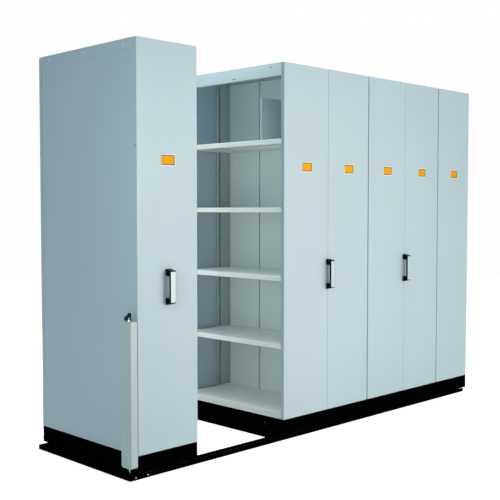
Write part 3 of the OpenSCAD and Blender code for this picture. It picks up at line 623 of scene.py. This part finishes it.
def labelHolders(prefix, unit, p):
    # a moulded rim with a lip that slopes down to the card, dark brown as painted shade under the rim, and a
    # thin back plate that the card lies on
    deep, wide, card, soft, bend = p["depth"], p["rim"], p["cardGap"], p["soft"], p["bend"]
    frameRim = rim(p["w"], p["h"], p["corner"], [
        (0, 0), (0, deep - soft), (bend, deep - bend), (soft, deep), (wide - soft, deep),
        (wide - bend, deep - bend), (wide, deep - soft), (wide, card), (p["slot"], card), (p["slot"], 0)])
    lip = rim(p["w"], p["h"], p["corner"], [
        (wide - bend, card), (wide - bend, deep - p["lipDown"]), (wide + p["lipFlat"], deep - p["lipDown"]),
        (p["lip"], card + p["lipEnd"]), (p["lip"], card)])
    plateIn = 2 * (p["slot"] + p["backGap"])
    plateLine = rectangle(p["w"] - plateIn, p["h"] - plateIn, p["backCorner"])
    plate = slab(plateLine, 0, p["back"], p["backSoft"], 2)
    node = prefix + "_label" + unit["plural"]
    _, _, z = middleOf(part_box(node))
    parts, lips = [], []
    for openX, way in unit["bays"]:
        where = (openX + way * unit["bayDepth"] / 2, unit["low"].y, z)
        for part, group in ((frameRim, parts), (plate, parts), (lip, lips)):
            group.append(moved(part, where, *facingNear))
    addPiece(prefix + "LabelHolder", parts, unit["body"], framePlastic, [node])
    # the dark brown lip ring is painted shade
    addPiece(prefix + "LabelLip", lips, unit["body"], lipPlastic)
    dress(prefix + "_card" + unit["plural"], labelCard)


# rings and slotReach are shares of the head's radius
screwSize = {"r": 4 * mm, "h": 2.2 * mm, "slotDeep": 1.0 * mm, "slotWide": 0.7 * mm, "slotReach": 0.66,
             "dome": 2.6, "rings": (1.0, 0.95, 0.88, 0.78, 0.68, 0.62, 0.55, 0.42, 0.3, 0.2, 0.12, 0.02)}


def screwHead(s, steps=40):
    # a domed head, z = h * (1 - (r / R)^dome), with a cross recess where |x| or |y| is within the slot
    a = np.linspace(0, 2 * math.pi, steps, endpoint=False)[None]
    r = np.array(s["rings"])[:, None] * s["r"]
    x, y = r * np.cos(a), r * np.sin(a)
    z = s["h"] * (1 - (r / s["r"]) ** s["dome"]) + 0 * a
    narrow = np.minimum(np.abs(x), np.abs(y))
    across = np.clip((s["slotWide"] - narrow) / (0.4 * s["slotWide"]), 0, 1)
    along = np.clip((s["slotReach"] * s["r"] - r) / (0.1 * s["r"]), 0, 1)
    points = np.stack([x, y, z - s["slotDeep"] * across * along], -1)
    return gridPart(points, closeV=True, capFirst=True, capLast=True)


gripSize = {"z": 0.97, "len": 188 * mm, "taper": 10 * mm, "w": 38 * mm, "stand": 42 * mm, "bar": 12 * mm,
            "foot": 36 * mm, "outer": 3 * mm, "inner": 4 * mm, "end": 2.5 * mm, "soft": 2.0 * mm,
            "faceLen": 160 * mm, "faceW": 33.6 * mm, "faceOut": 43 * mm, "faceThick": 5 * mm,
            "faceSoft": 1.0 * mm, "faceSink": 0.8 * mm, "crown": 0.7 * mm}


def grips(prefix, unit, p):
    # the bow is a C outline with sloping ends and soft edges, as thick as the grip is wide
    where = ((unit["low"].x + unit["high"].x) / 2, unit["low"].y, p["z"])
    half = p["len"] / 2
    gap = half - p["foot"]
    back = p["stand"] - p["bar"]
    front = half - p["taper"]
    corners = [(0, -half), (p["stand"], -front), (p["stand"], front), (0, half), (0, gap), (back, gap),
               (back, -gap), (0, -gap)]
    radii = [p[key] for key in ("end", "outer", "outer", "end", "end", "inner", "inner", "end")]
    bow = slab(roundCorners(corners, radii, 7, closed=True), -p["w"] / 2, p["w"] / 2, p["soft"], 4)
    addPiece(prefix + "GripBow", [moved(bow, where, (0, -1, 0), (0, 0, 1), (1, 0, 0))], unit["body"],
             gripPlastic, [prefix + "_grip_bow"])
    # the bright face: out = faceOut - crown * (x / half width)^2, sunk a little at its two ends
    u = np.linspace(-1, 1, 13)
    halfW = p["faceW"] / 2
    rear = p["faceOut"] - p["faceThick"]
    crown = np.column_stack([u * halfW, p["faceOut"] - p["crown"] * u ** 2])
    section = np.concatenate([[(-halfW, rear), (halfW, rear)], crown[::-1]])
    end = p["faceLen"] / 2
    along = np.array([-end, p["faceSoft"] - end, end - p["faceSoft"], end])
    sink = np.array([p["faceSink"], 0, 0, p["faceSink"]])
    points = np.empty((4, len(section), 3))
    points[..., 0] = section[None, :, 0]
    points[..., 1] = section[None, :, 1] - sink[:, None] * (section[None, :, 1] > rear)
    points[..., 2] = along[:, None]
    face = gridPart(points, closeV=True, capFirst=True, capLast=True)
    addPiece(prefix + "GripFace", [moved(face, where, (1, 0, 0), (0, -1, 0), (0, 0, 1))], unit["body"],
             gripAluminium, [prefix + "_grip"], sharp=28)


for prefix, unit in units.items():
    endPanels(prefix, unit, panelSize)
    tops(prefix, unit, topSize)
    shelves(prefix, unit, shelfSize)
    labelHolders(prefix, unit, labelSize)
    dress(prefix + "_posts", postPaint)
    dress(prefix + "_back_panel" + unit["plural"], panelPaint if unit["single"] else backPaint, 0.4 * mm)
    dress(prefix + ("_plinth" if prefix == "static" else "_chassis"), plinthPaint, 0.8 * mm)
    if prefix != "static":
        grips(prefix, unit, gripSize)
        dress(prefix + "_bearings", bearingIron, 1.2 * mm)
print("units made")

# screws in the fascias, the closed sides' rails and the closed sides: y from the handle end, and z
screwPlaces = {"fascia": ((0.11, 2.208), (0.79, 2.208)),
               "rail": ((0.11, 2.206), (0.455, 2.206), (0.79, 2.206)),
               "side": ((0.0125, 1.69), (0.8875, 1.69))}
# the fixed unit's closed side is the part's right end, so its heads are flush
flushScrew = dict(screwSize, h=0.1 * mm, slotDeep=0.04 * mm)


def sideScrews(x, way, unit, places, head):
    # screw heads on a face whose outward way is along x
    return [moved(screwHead(head), (x, unit["low"].y + y, z), (0, -way, 0), (0, 0, 1), (way, 0, 0))
            for y, z in places]


for prefix, unit in units.items():
    black = []
    for openX, way in unit["bays"]:
        black += sideScrews(openX, -way, unit, screwPlaces["fascia"], screwSize)
    if unit["single"]:
        openX, way = unit["bays"][0]
        closedX = openX + way * unit["bayDepth"]
        head = flushScrew if prefix == "static" else screwSize
        bright = sideScrews(closedX, way, unit, screwPlaces["rail"], head)
        black += sideScrews(closedX, way, unit, screwPlaces["side"], head)
        addPiece(prefix + "RailScrews", bright, unit["body"], axleSteel)
    addPiece(prefix + "Screws", black, unit["body"], screwBlack)

# running gear
wheelSize = {"r": 44.7 * mm, "flange": 50 * mm, "w": 20 * mm, "groove": 12.6 * mm, "bore": 10.05 * mm,
             "hub": 17 * mm, "rimIn": 36 * mm, "web": 5 * mm, "slope": 3 * mm, "soft": 0.6 * mm, "spokes": 5,
             "swell": 1.6 * mm, "swellIn": 2 * mm, "swellLow": 1 * mm}


def wheel(p, grooved):
    # The section goes over the tread and back along the hub and the web. The web swells into spokes:
    # z grows by swell * cos(spokes * a) between hub and rim, away from the wheel's middle.
    h, web = p["w"] / 2, p["web"] / 2
    if grooved:
        g = p["groove"] / 2
        tread = [(p["flange"], -h), (p["flange"], -g), (p["r"], -g), (p["r"], g), (p["flange"], g),
                 (p["flange"], h)]
    else:
        tread = [(p["r"], -h), (p["r"], h)]
    inside = [(p["rimIn"], h), (p["rimIn"] - p["slope"], web), (p["hub"] + p["slope"], web), (p["hub"], h),
              (p["bore"], h)]
    line = tread + inside + [(r, -z) for r, z in inside[::-1]]
    section = roundCorners(line, p["soft"], 3, closed=True)

    def spokes(r, a, z):
        between = (r > p["hub"] + p["swellIn"]) & (r < p["rimIn"] - p["swellIn"])
        between = between & (np.abs(z) < h - p["swellLow"])
        return np.where(between, np.sign(z) * p["swell"] * np.cos(p["spokes"] * a), 0.0)

    return turned(section, 60, True, spokes)


gearSize = {"near": 20 * mm, "axleZ": 63 * mm, "axleR": 10 * mm, "collarR": 13 * mm, "collar": 2.5 * mm,
            "gap": 0.3 * mm, "tip": 0.1 * mm, "soft": 0.4 * mm}


def axleBar(x, wheelYs, g, p):
    # a turned bar with chamfered ends and a collar on each side of both wheels
    near, far = wheelYs
    out = near - p["w"] / 2 - g["gap"]
    inn = near + p["w"] / 2 + g["gap"]
    c, r, k = g["collarR"], g["axleR"], g["collar"]
    line = [(g["tip"], out - k), (c, out - k), (c, out), (r, out), (r, inn), (c, inn), (c, inn + k),
            (r, inn + k)]
    mirror = [(q, near + far - z) for q, z in line[::-1]]
    section = roundCorners(line + mirror, g["soft"], 2)
    return moved(turned(section, 40, False), (x, 0, g["axleZ"]), *alongY)


def wheelPair(x, wheelYs, g, p):
    # the near wheel is grooved and the far one plain
    return [moved(wheel(p, grooved), (x, y, g["axleZ"]), *alongY)
            for y, grooved in zip(wheelYs, (True, False))]


trackLow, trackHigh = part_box("tracks")
wheelYs = (trackLow.y + gearSize["near"], trackHigh.y - gearSize["near"])
for number in (1, 2, 3):
    for side in ("left", "right"):
        wheelBody = f"carriage_{number}_{side}_wheels"
        if number == 2:
            axleNode, wheelNode = f"carriage_2_axle_{side}", f"carriage_2_wheels_{side}"
            axleBody = f"carriage_2_{side}_axle"
        else:
            axleNode = wheelNode = f"carriage_{number}_wheelset_{side}"
            axleBody = wheelBody
        x, _, _ = middleOf(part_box(axleNode))
        bar = axleBar(x, wheelYs, gearSize, wheelSize)
        pair = wheelPair(x, wheelYs, gearSize, wheelSize)
        name = f"carriage{number}{side.capitalize()}"
        addPiece(name + "Axle", [bar], axleBody, axleSteel, [axleNode])
        addPiece(name + "Wheels", pair, wheelBody, wheelIron, [wheelNode])
print("running gear made")

# buffers: line holds the side's (inset from the radius, height), in mm
bufferSize = {"r": 10 * mm, "len": 13.7 * mm, "tip": 0.2 * mm, "soft": 0.5 * mm,
              "line": ((0, 0), (0, 3), (1.5, 4), (0, 5), (0, 7.5), (1.5, 8.5), (0, 9.5), (0.6, 12.2),
                       (3, 13.7))}


def buffer(p):
    # a rubber dome with two grooves on a short foot
    side = [(p["r"] - inset * mm, z * mm) for inset, z in p["line"]]
    return turned(roundCorners([(p["tip"], 0)] + side + [(p["tip"], p["len"])], p["soft"], 2), 32, False)


for node, body, ways in (("static_buffers", "fixed_unit_and_tracks", (-1,)),
                         ("carriage_2_buffers", "carriage_2", (-1, 1))):
    low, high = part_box(node)
    r = bufferSize["r"]
    parts = []
    for way in ways:
        foot = (low.x + bufferSize["len"]) if way < 0 else (high.x - bufferSize["len"])
        for y in (low.y + r, high.y - r):
            parts.append(moved(buffer(bufferSize), (foot, y, low.z + r), (0, 1, 0), (0, 0, 1), (way, 0, 0)))
    addPiece(body.split("_unit")[0] + "Buffers", parts, body, bufferRubber, [node])

# lock on the first carriage
lockSize = {"fold": 3 * mm, "reveal": 4 * mm, "lower": 14 * mm, "upper": 3.4 * mm, "wall": 1.5 * mm,
            "bushR": 9 * mm, "bushH": 3 * mm, "bushIn": 2 * mm, "bushGap": 0.3 * mm, "bushSoft": 0.6 * mm}


def lockHousing(p):
    low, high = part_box("lock_housing")
    w, h, depth = high.y - low.y, high.z - low.z, high.x - low.x
    radii = [p["lower"], p["lower"], p["upper"], p["upper"]]
    cover = pan(w, h, depth - p["reveal"], radii, p["fold"], p["wall"], 6)
    _, y, z = middleOf((low, high))
    parts = [moved(cover, (low.x, y, z), (0, 1, 0), (0, 0, 1), (-1, 0, 0))]
    addPiece("lockHousing", parts, "carriage_1", lockPaint, ["lock_housing"])
    # a bush round the bolt, in the housing's foot
    bolt0, bolt1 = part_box("lock_bolt")
    x, y, _ = middleOf((bolt0, bolt1))
    r = (bolt1.x - bolt0.x) / 2 + p["bushGap"]
    section = [(r, -p["bushH"]), (p["bushR"], -p["bushH"]), (p["bushR"], p["bushIn"]), (r, p["bushIn"])]
    bush = turned(roundCorners(section, p["bushSoft"], 3, closed=True), 40)
    addPiece("lockBush", [moved(bush, (x, y, low.z))], "carriage_1", lockSteel)


# heights are above the cylinder's top; rings hold (share of the way from hole to rim, shift along it in mm,
# height in half thicknesses)
keySize = {"lobe": 16.9 * mm, "waist": 0.45, "lean": 39.3, "headAt": (-8.4 * mm, 22 * mm), "thick": 4.8 * mm,
           "hole": 2 * mm, "holeAt": (2.6 * mm, 33 * mm), "neckAt": (7.2 * mm, 13.5 * mm),
           "neck": (7 * mm, 25 * mm), "neckCorner": 2.5 * mm, "neckThick": 4.56 * mm, "neckSoft": 1 * mm,
           "shank": (8 * mm, 26 * mm), "shankCorner": 0.8 * mm, "shankUp": 9 * mm, "shankThick": 2.4 * mm,
           "shankSoft": 0.4 * mm, "plugR": 6 * mm, "plugUp": 0.5 * mm, "plugSoft": 0.5 * mm, "drumR": 9 * mm,
           "drumH": 9 * mm, "tip": 0.2 * mm,
           "rings": ((1, 0, -0.3), (1, 0, 0.3), (1, -0.5, 0.75), (1, -1.5, 1), (0, 1.2, 1), (0, 0.3, 0.8),
                     (0, 0, 0.5), (0, 0, -0.5), (0, 0.3, -0.8), (0, 1.2, -1), (1, -1.5, -1),
                     (1, -0.5, -0.75))}


def lockKey(p):
    # The head's outline is a two-lobed curve, r = lobe * (1 + waist * cos 2a), that leans by an angle.
    # Rings go round it from its rim to a hole in the upper lobe, along lines that meet in the hole's middle.
    low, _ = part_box("lock_key")
    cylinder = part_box("lock_cylinder")
    x, y, _ = middleOf(cylinder)
    top = cylinder[1].z
    a = np.linspace(0, 2 * math.pi, 72, endpoint=False)
    r = p["lobe"] * (1 + p["waist"] * np.cos(2 * a))
    lean = a + math.radians(p["lean"])
    outline = np.array(p["headAt"]) + np.stack([r * np.cos(lean), r * np.sin(lean)], 1)
    hole = np.array(p["holeAt"])
    reach = np.linalg.norm(outline - hole, axis=1)
    way = (outline - hole) / reach[:, None]
    rings = []
    for share, shift, height in p["rings"]:
        distance = share * reach + (1 - share) * p["hole"] + shift * mm
        level = np.full(len(a), height * p["thick"] / 2)
        rings.append(np.column_stack([hole + way * distance[:, None], level]))
    head = gridPart(np.array(rings), closeU=True, closeV=True)
    neck = slab(rectangle(*p["neck"], p["neckCorner"]), -p["neckThick"] / 2, p["neckThick"] / 2,
                p["neckSoft"], 3)
    neckX, neckZ = p["neckAt"]
    parts = [moved(head, (x, y, top), *facingFar), moved(neck, (x + neckX, y, top + neckZ), *facingFar)]
    addPiece("lockKeyHead", parts, "lock_key", keyPlastic, ["lock_key"])
    shank = slab(rectangle(*p["shank"], p["shankCorner"]), -p["shankThick"] / 2, p["shankThick"] / 2,
                 p["shankSoft"], 2)
    drumTop, plugTop = low.z + p["drumH"], top + p["plugUp"]
    section = [(p["tip"], low.z), (p["drumR"], low.z), (p["drumR"], drumTop), (p["plugR"], drumTop),
               (p["plugR"], plugTop), (p["tip"], plugTop)]
    plug = turned(roundCorners(section, p["plugSoft"], 2), 40, False)
    parts = [moved(shank, (x, y, top + p["shankUp"]), *facingFar), moved(plug, (x, y, 0))]
    addPiece("lockKeyShank", parts, "lock_key", lockSteel, ["lock_key"])


lockHousing(lockSize)
lockKey(keySize)
dress("lock_cylinder", lockSteel, 0.6 * mm, 3)
dress("lock_bolt", lockSteel, 1.0 * mm, 3)
print("lock made")

# divider plate
dividerSize = {"corner": 16 * mm, "small": 2 * mm, "wall": 1.2 * mm, "edge": 6 * mm, "edgeShort": 1 * mm,
               "edgeCorner": 0.5 * mm, "soft": 0.35 * mm}


def divider(p):
    # an upright plate with one large corner, its foot, and a narrow fold along its edge
    low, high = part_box("divider_plate")
    w, h, foot = high.x - low.x, high.z - low.z, high.y - low.y
    x, y, z = middleOf((low, high))
    wall, soft, large, small = p["wall"], p["soft"], p["corner"], p["small"]
    plate = slab(rectangle(w, h, [small, small, large, small], 8), 0, wall, soft, 3)
    base = slab(rectangle(w, foot, [small, large, large, small], 6), 0, wall, soft, 3)
    edge = slab(rectangle(wall, h - p["edgeShort"], p["edgeCorner"]), 0, p["edge"], soft, 3)
    parts = [moved(plate, (x, low.y + wall, z), *facingNear), moved(base, (x, y, low.z)),
             moved(edge, (low.x + wall / 2, low.y + p["edge"], z), *facingNear)]
    addPiece("dividerPlate", parts, "divider", shelfPaint, ["divider_plate"])


divider(dividerSize)

# floor tracks
dress("tracks", trackPaint, 0.5 * mm)
dress("cross_ties", trackPaint, 0.8 * mm)
dress("track_rails", railSteel, 0.8 * mm, 3)
low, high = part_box("track_screws")
keepers = [moved(screwHead(screwSize), (x, high.y, (low.z + high.z) / 2), *facingNear)
           for x in (low.x + screwSize["r"], high.x - screwSize["r"])]
addPiece("trackScrews", keepers, "fixed_unit_and_tracks", axleSteel, ["track_screws"])
print("tracks dressed")


# floor, light and background
stage = {"floor": 24.0, "floorColor": (0.86, 0.86, 0.86), "lift": 0.8, "liftColor": (1, 0.94, 0.92),
         "sky": 0.29, "skyColor": (0.5, 0.86, 1.0)}
bayPieces = ("carriage_2_", "carriage_2Top", "carriage_2Shelves", "carriage_2Screws", "divider")
lamps = {
    "left": {"where": (-0.4, -3.2, 1.5), "aim": (-0.4, 0, 1.1), "size": (0.4, 1.8), "power": 33,
             "color": (1, 0.79, 0.72)},
    "right": {"where": (1.8, -4.5, 2.0), "aim": (0.6, 0, 1.0), "size": (3.0, 2.0), "power": 57,
              "color": (0.91, 1, 0.84)},
    "side": {"where": (-2.9, -1.3, 1.7), "aim": (-1.5, -0.3, 1.3), "size": (0.6, 0.9), "power": 8.6,
             "color": (0.89, 1, 0.92)},
    "aisle": {"where": (-1.1, 0.432, 1.05), "aim": (0, 0.1, 1.05), "size": (0.02, 1.8), "power": 4.3,
              "color": (0.96, 1, 0.84), "only": bayPieces},
    "back": {"where": (0.3, 5.0, 2.4), "aim": (0, 0, 1.1), "size": (3.0, 2.0), "power": 90,
             "color": (1, 0.94, 0.86)},
    "far": {"where": (5.6, 1.2, 2.4), "aim": (0.6, 0, 1.1), "size": (2.4, 2.0), "power": 85,
            "color": (1, 0.94, 0.86)},
    "top": {"where": (-1.0, 0.1, 2.75), "aim": (-0.44, 0.1, 1.3), "size": (0.3, 0.9), "power": 5.4,
            "color": (0.9, 1, 0.93), "only": bayPieces},
    "overhead": {"where": (0, 0.6, 5.0), "aim": (0, 0.599, 2.0), "size": (3.4, 1.2), "power": 55,
                 "color": (1, 0.96, 0.9)},
}


def addLamp(name, p):
    data = bpy.data.lights.new(name, "AREA")
    data.shape = "RECTANGLE"
    data.size, data.size_y = p["size"]
    data.energy = p["power"]
    data.color = p["color"]
    obj = bpy.data.objects.new(name, data)
    way = np.array(p["aim"], float) - np.array(p["where"], float)
    tilt = math.acos(-way[2] / np.linalg.norm(way))
    obj.location = p["where"]
    obj.rotation_euler = (tilt, 0, math.atan2(way[1], way[0]) - math.pi / 2)
    obj.visible_camera = False
    bpy.context.scene.collection.objects.link(obj)
    if "only" in p:
        # lights just the pieces whose names start so, and leaves the carriages that roll past it alone
        lit = bpy.data.collections.new(name + "Lit")
        for piece in bpy.data.objects:
            if piece.type == "MESH" and piece.name.startswith(p["only"]):
                lit.objects.link(piece)
        obj.light_linking.receiver_collection = lit


def seenRays(tree):
    # 1 on camera, glossy and transmission rays, which see the background, and 0 on the rays that light
    paths = tree.nodes.new("ShaderNodeLightPath")
    seen = paths.outputs["Is Camera Ray"]
    for kind in ("Is Glossy Ray", "Is Transmission Ray"):
        most = tree.nodes.new("ShaderNodeMath")
        most.operation = "MAXIMUM"
        tree.links.new(seen, most.inputs[0])
        tree.links.new(paths.outputs[kind], most.inputs[1])
        seen = most.outputs[0]
    return seen


def addStage(s):
    # a white floor that keeps the shadows, under a sky that is white to the camera and in reflections
    half = s["floor"] / 2
    corners = [(-half, -half, 0), (half, -half, 0), (half, half, 0), (-half, half, 0)]
    mesh = bpy.data.meshes.new("floor")
    mesh.from_pydata(corners, [], [(0, 1, 2, 3)])
    floor = bpy.data.objects.new("floor", mesh)
    bpy.context.scene.collection.objects.link(floor)
    f = Finish("floorFinish", 0.7)
    f.shader.inputs["Base Color"].default_value = (*s["floorColor"], 1)
    f.shader.inputs["Emission Color"].default_value = (*s["liftColor"], 1)
    f.link(f.math("MULTIPLY", seenRays(f.tree), s["lift"]), "Emission Strength")
    mesh.materials.append(f.material)

    world = bpy.data.worlds.new("world")
    bpy.context.scene.world = world
    world.use_nodes = True
    tree = world.node_tree
    sky = tree.nodes["Background"]
    sky.inputs["Color"].default_value = (*s["skyColor"], 1)
    sky.inputs["Strength"].default_value = s["sky"]
    white = tree.nodes.new("ShaderNodeBackground")
    white.inputs["Color"].default_value = (1, 1, 1, 1)
    mixer = tree.nodes.new("ShaderNodeMixShader")
    tree.links.new(seenRays(tree), mixer.inputs[0])
    tree.links.new(sky.outputs[0], mixer.inputs[1])
    tree.links.new(white.outputs[0], mixer.inputs[2])
    tree.links.new(mixer.outputs[0], tree.nodes["World Output"].inputs[0])
    bpy.context.scene.view_settings.view_transform = "Standard"


addStage(stage)
for name, p in lamps.items():
    addLamp(name, p)
print("stage and light made")
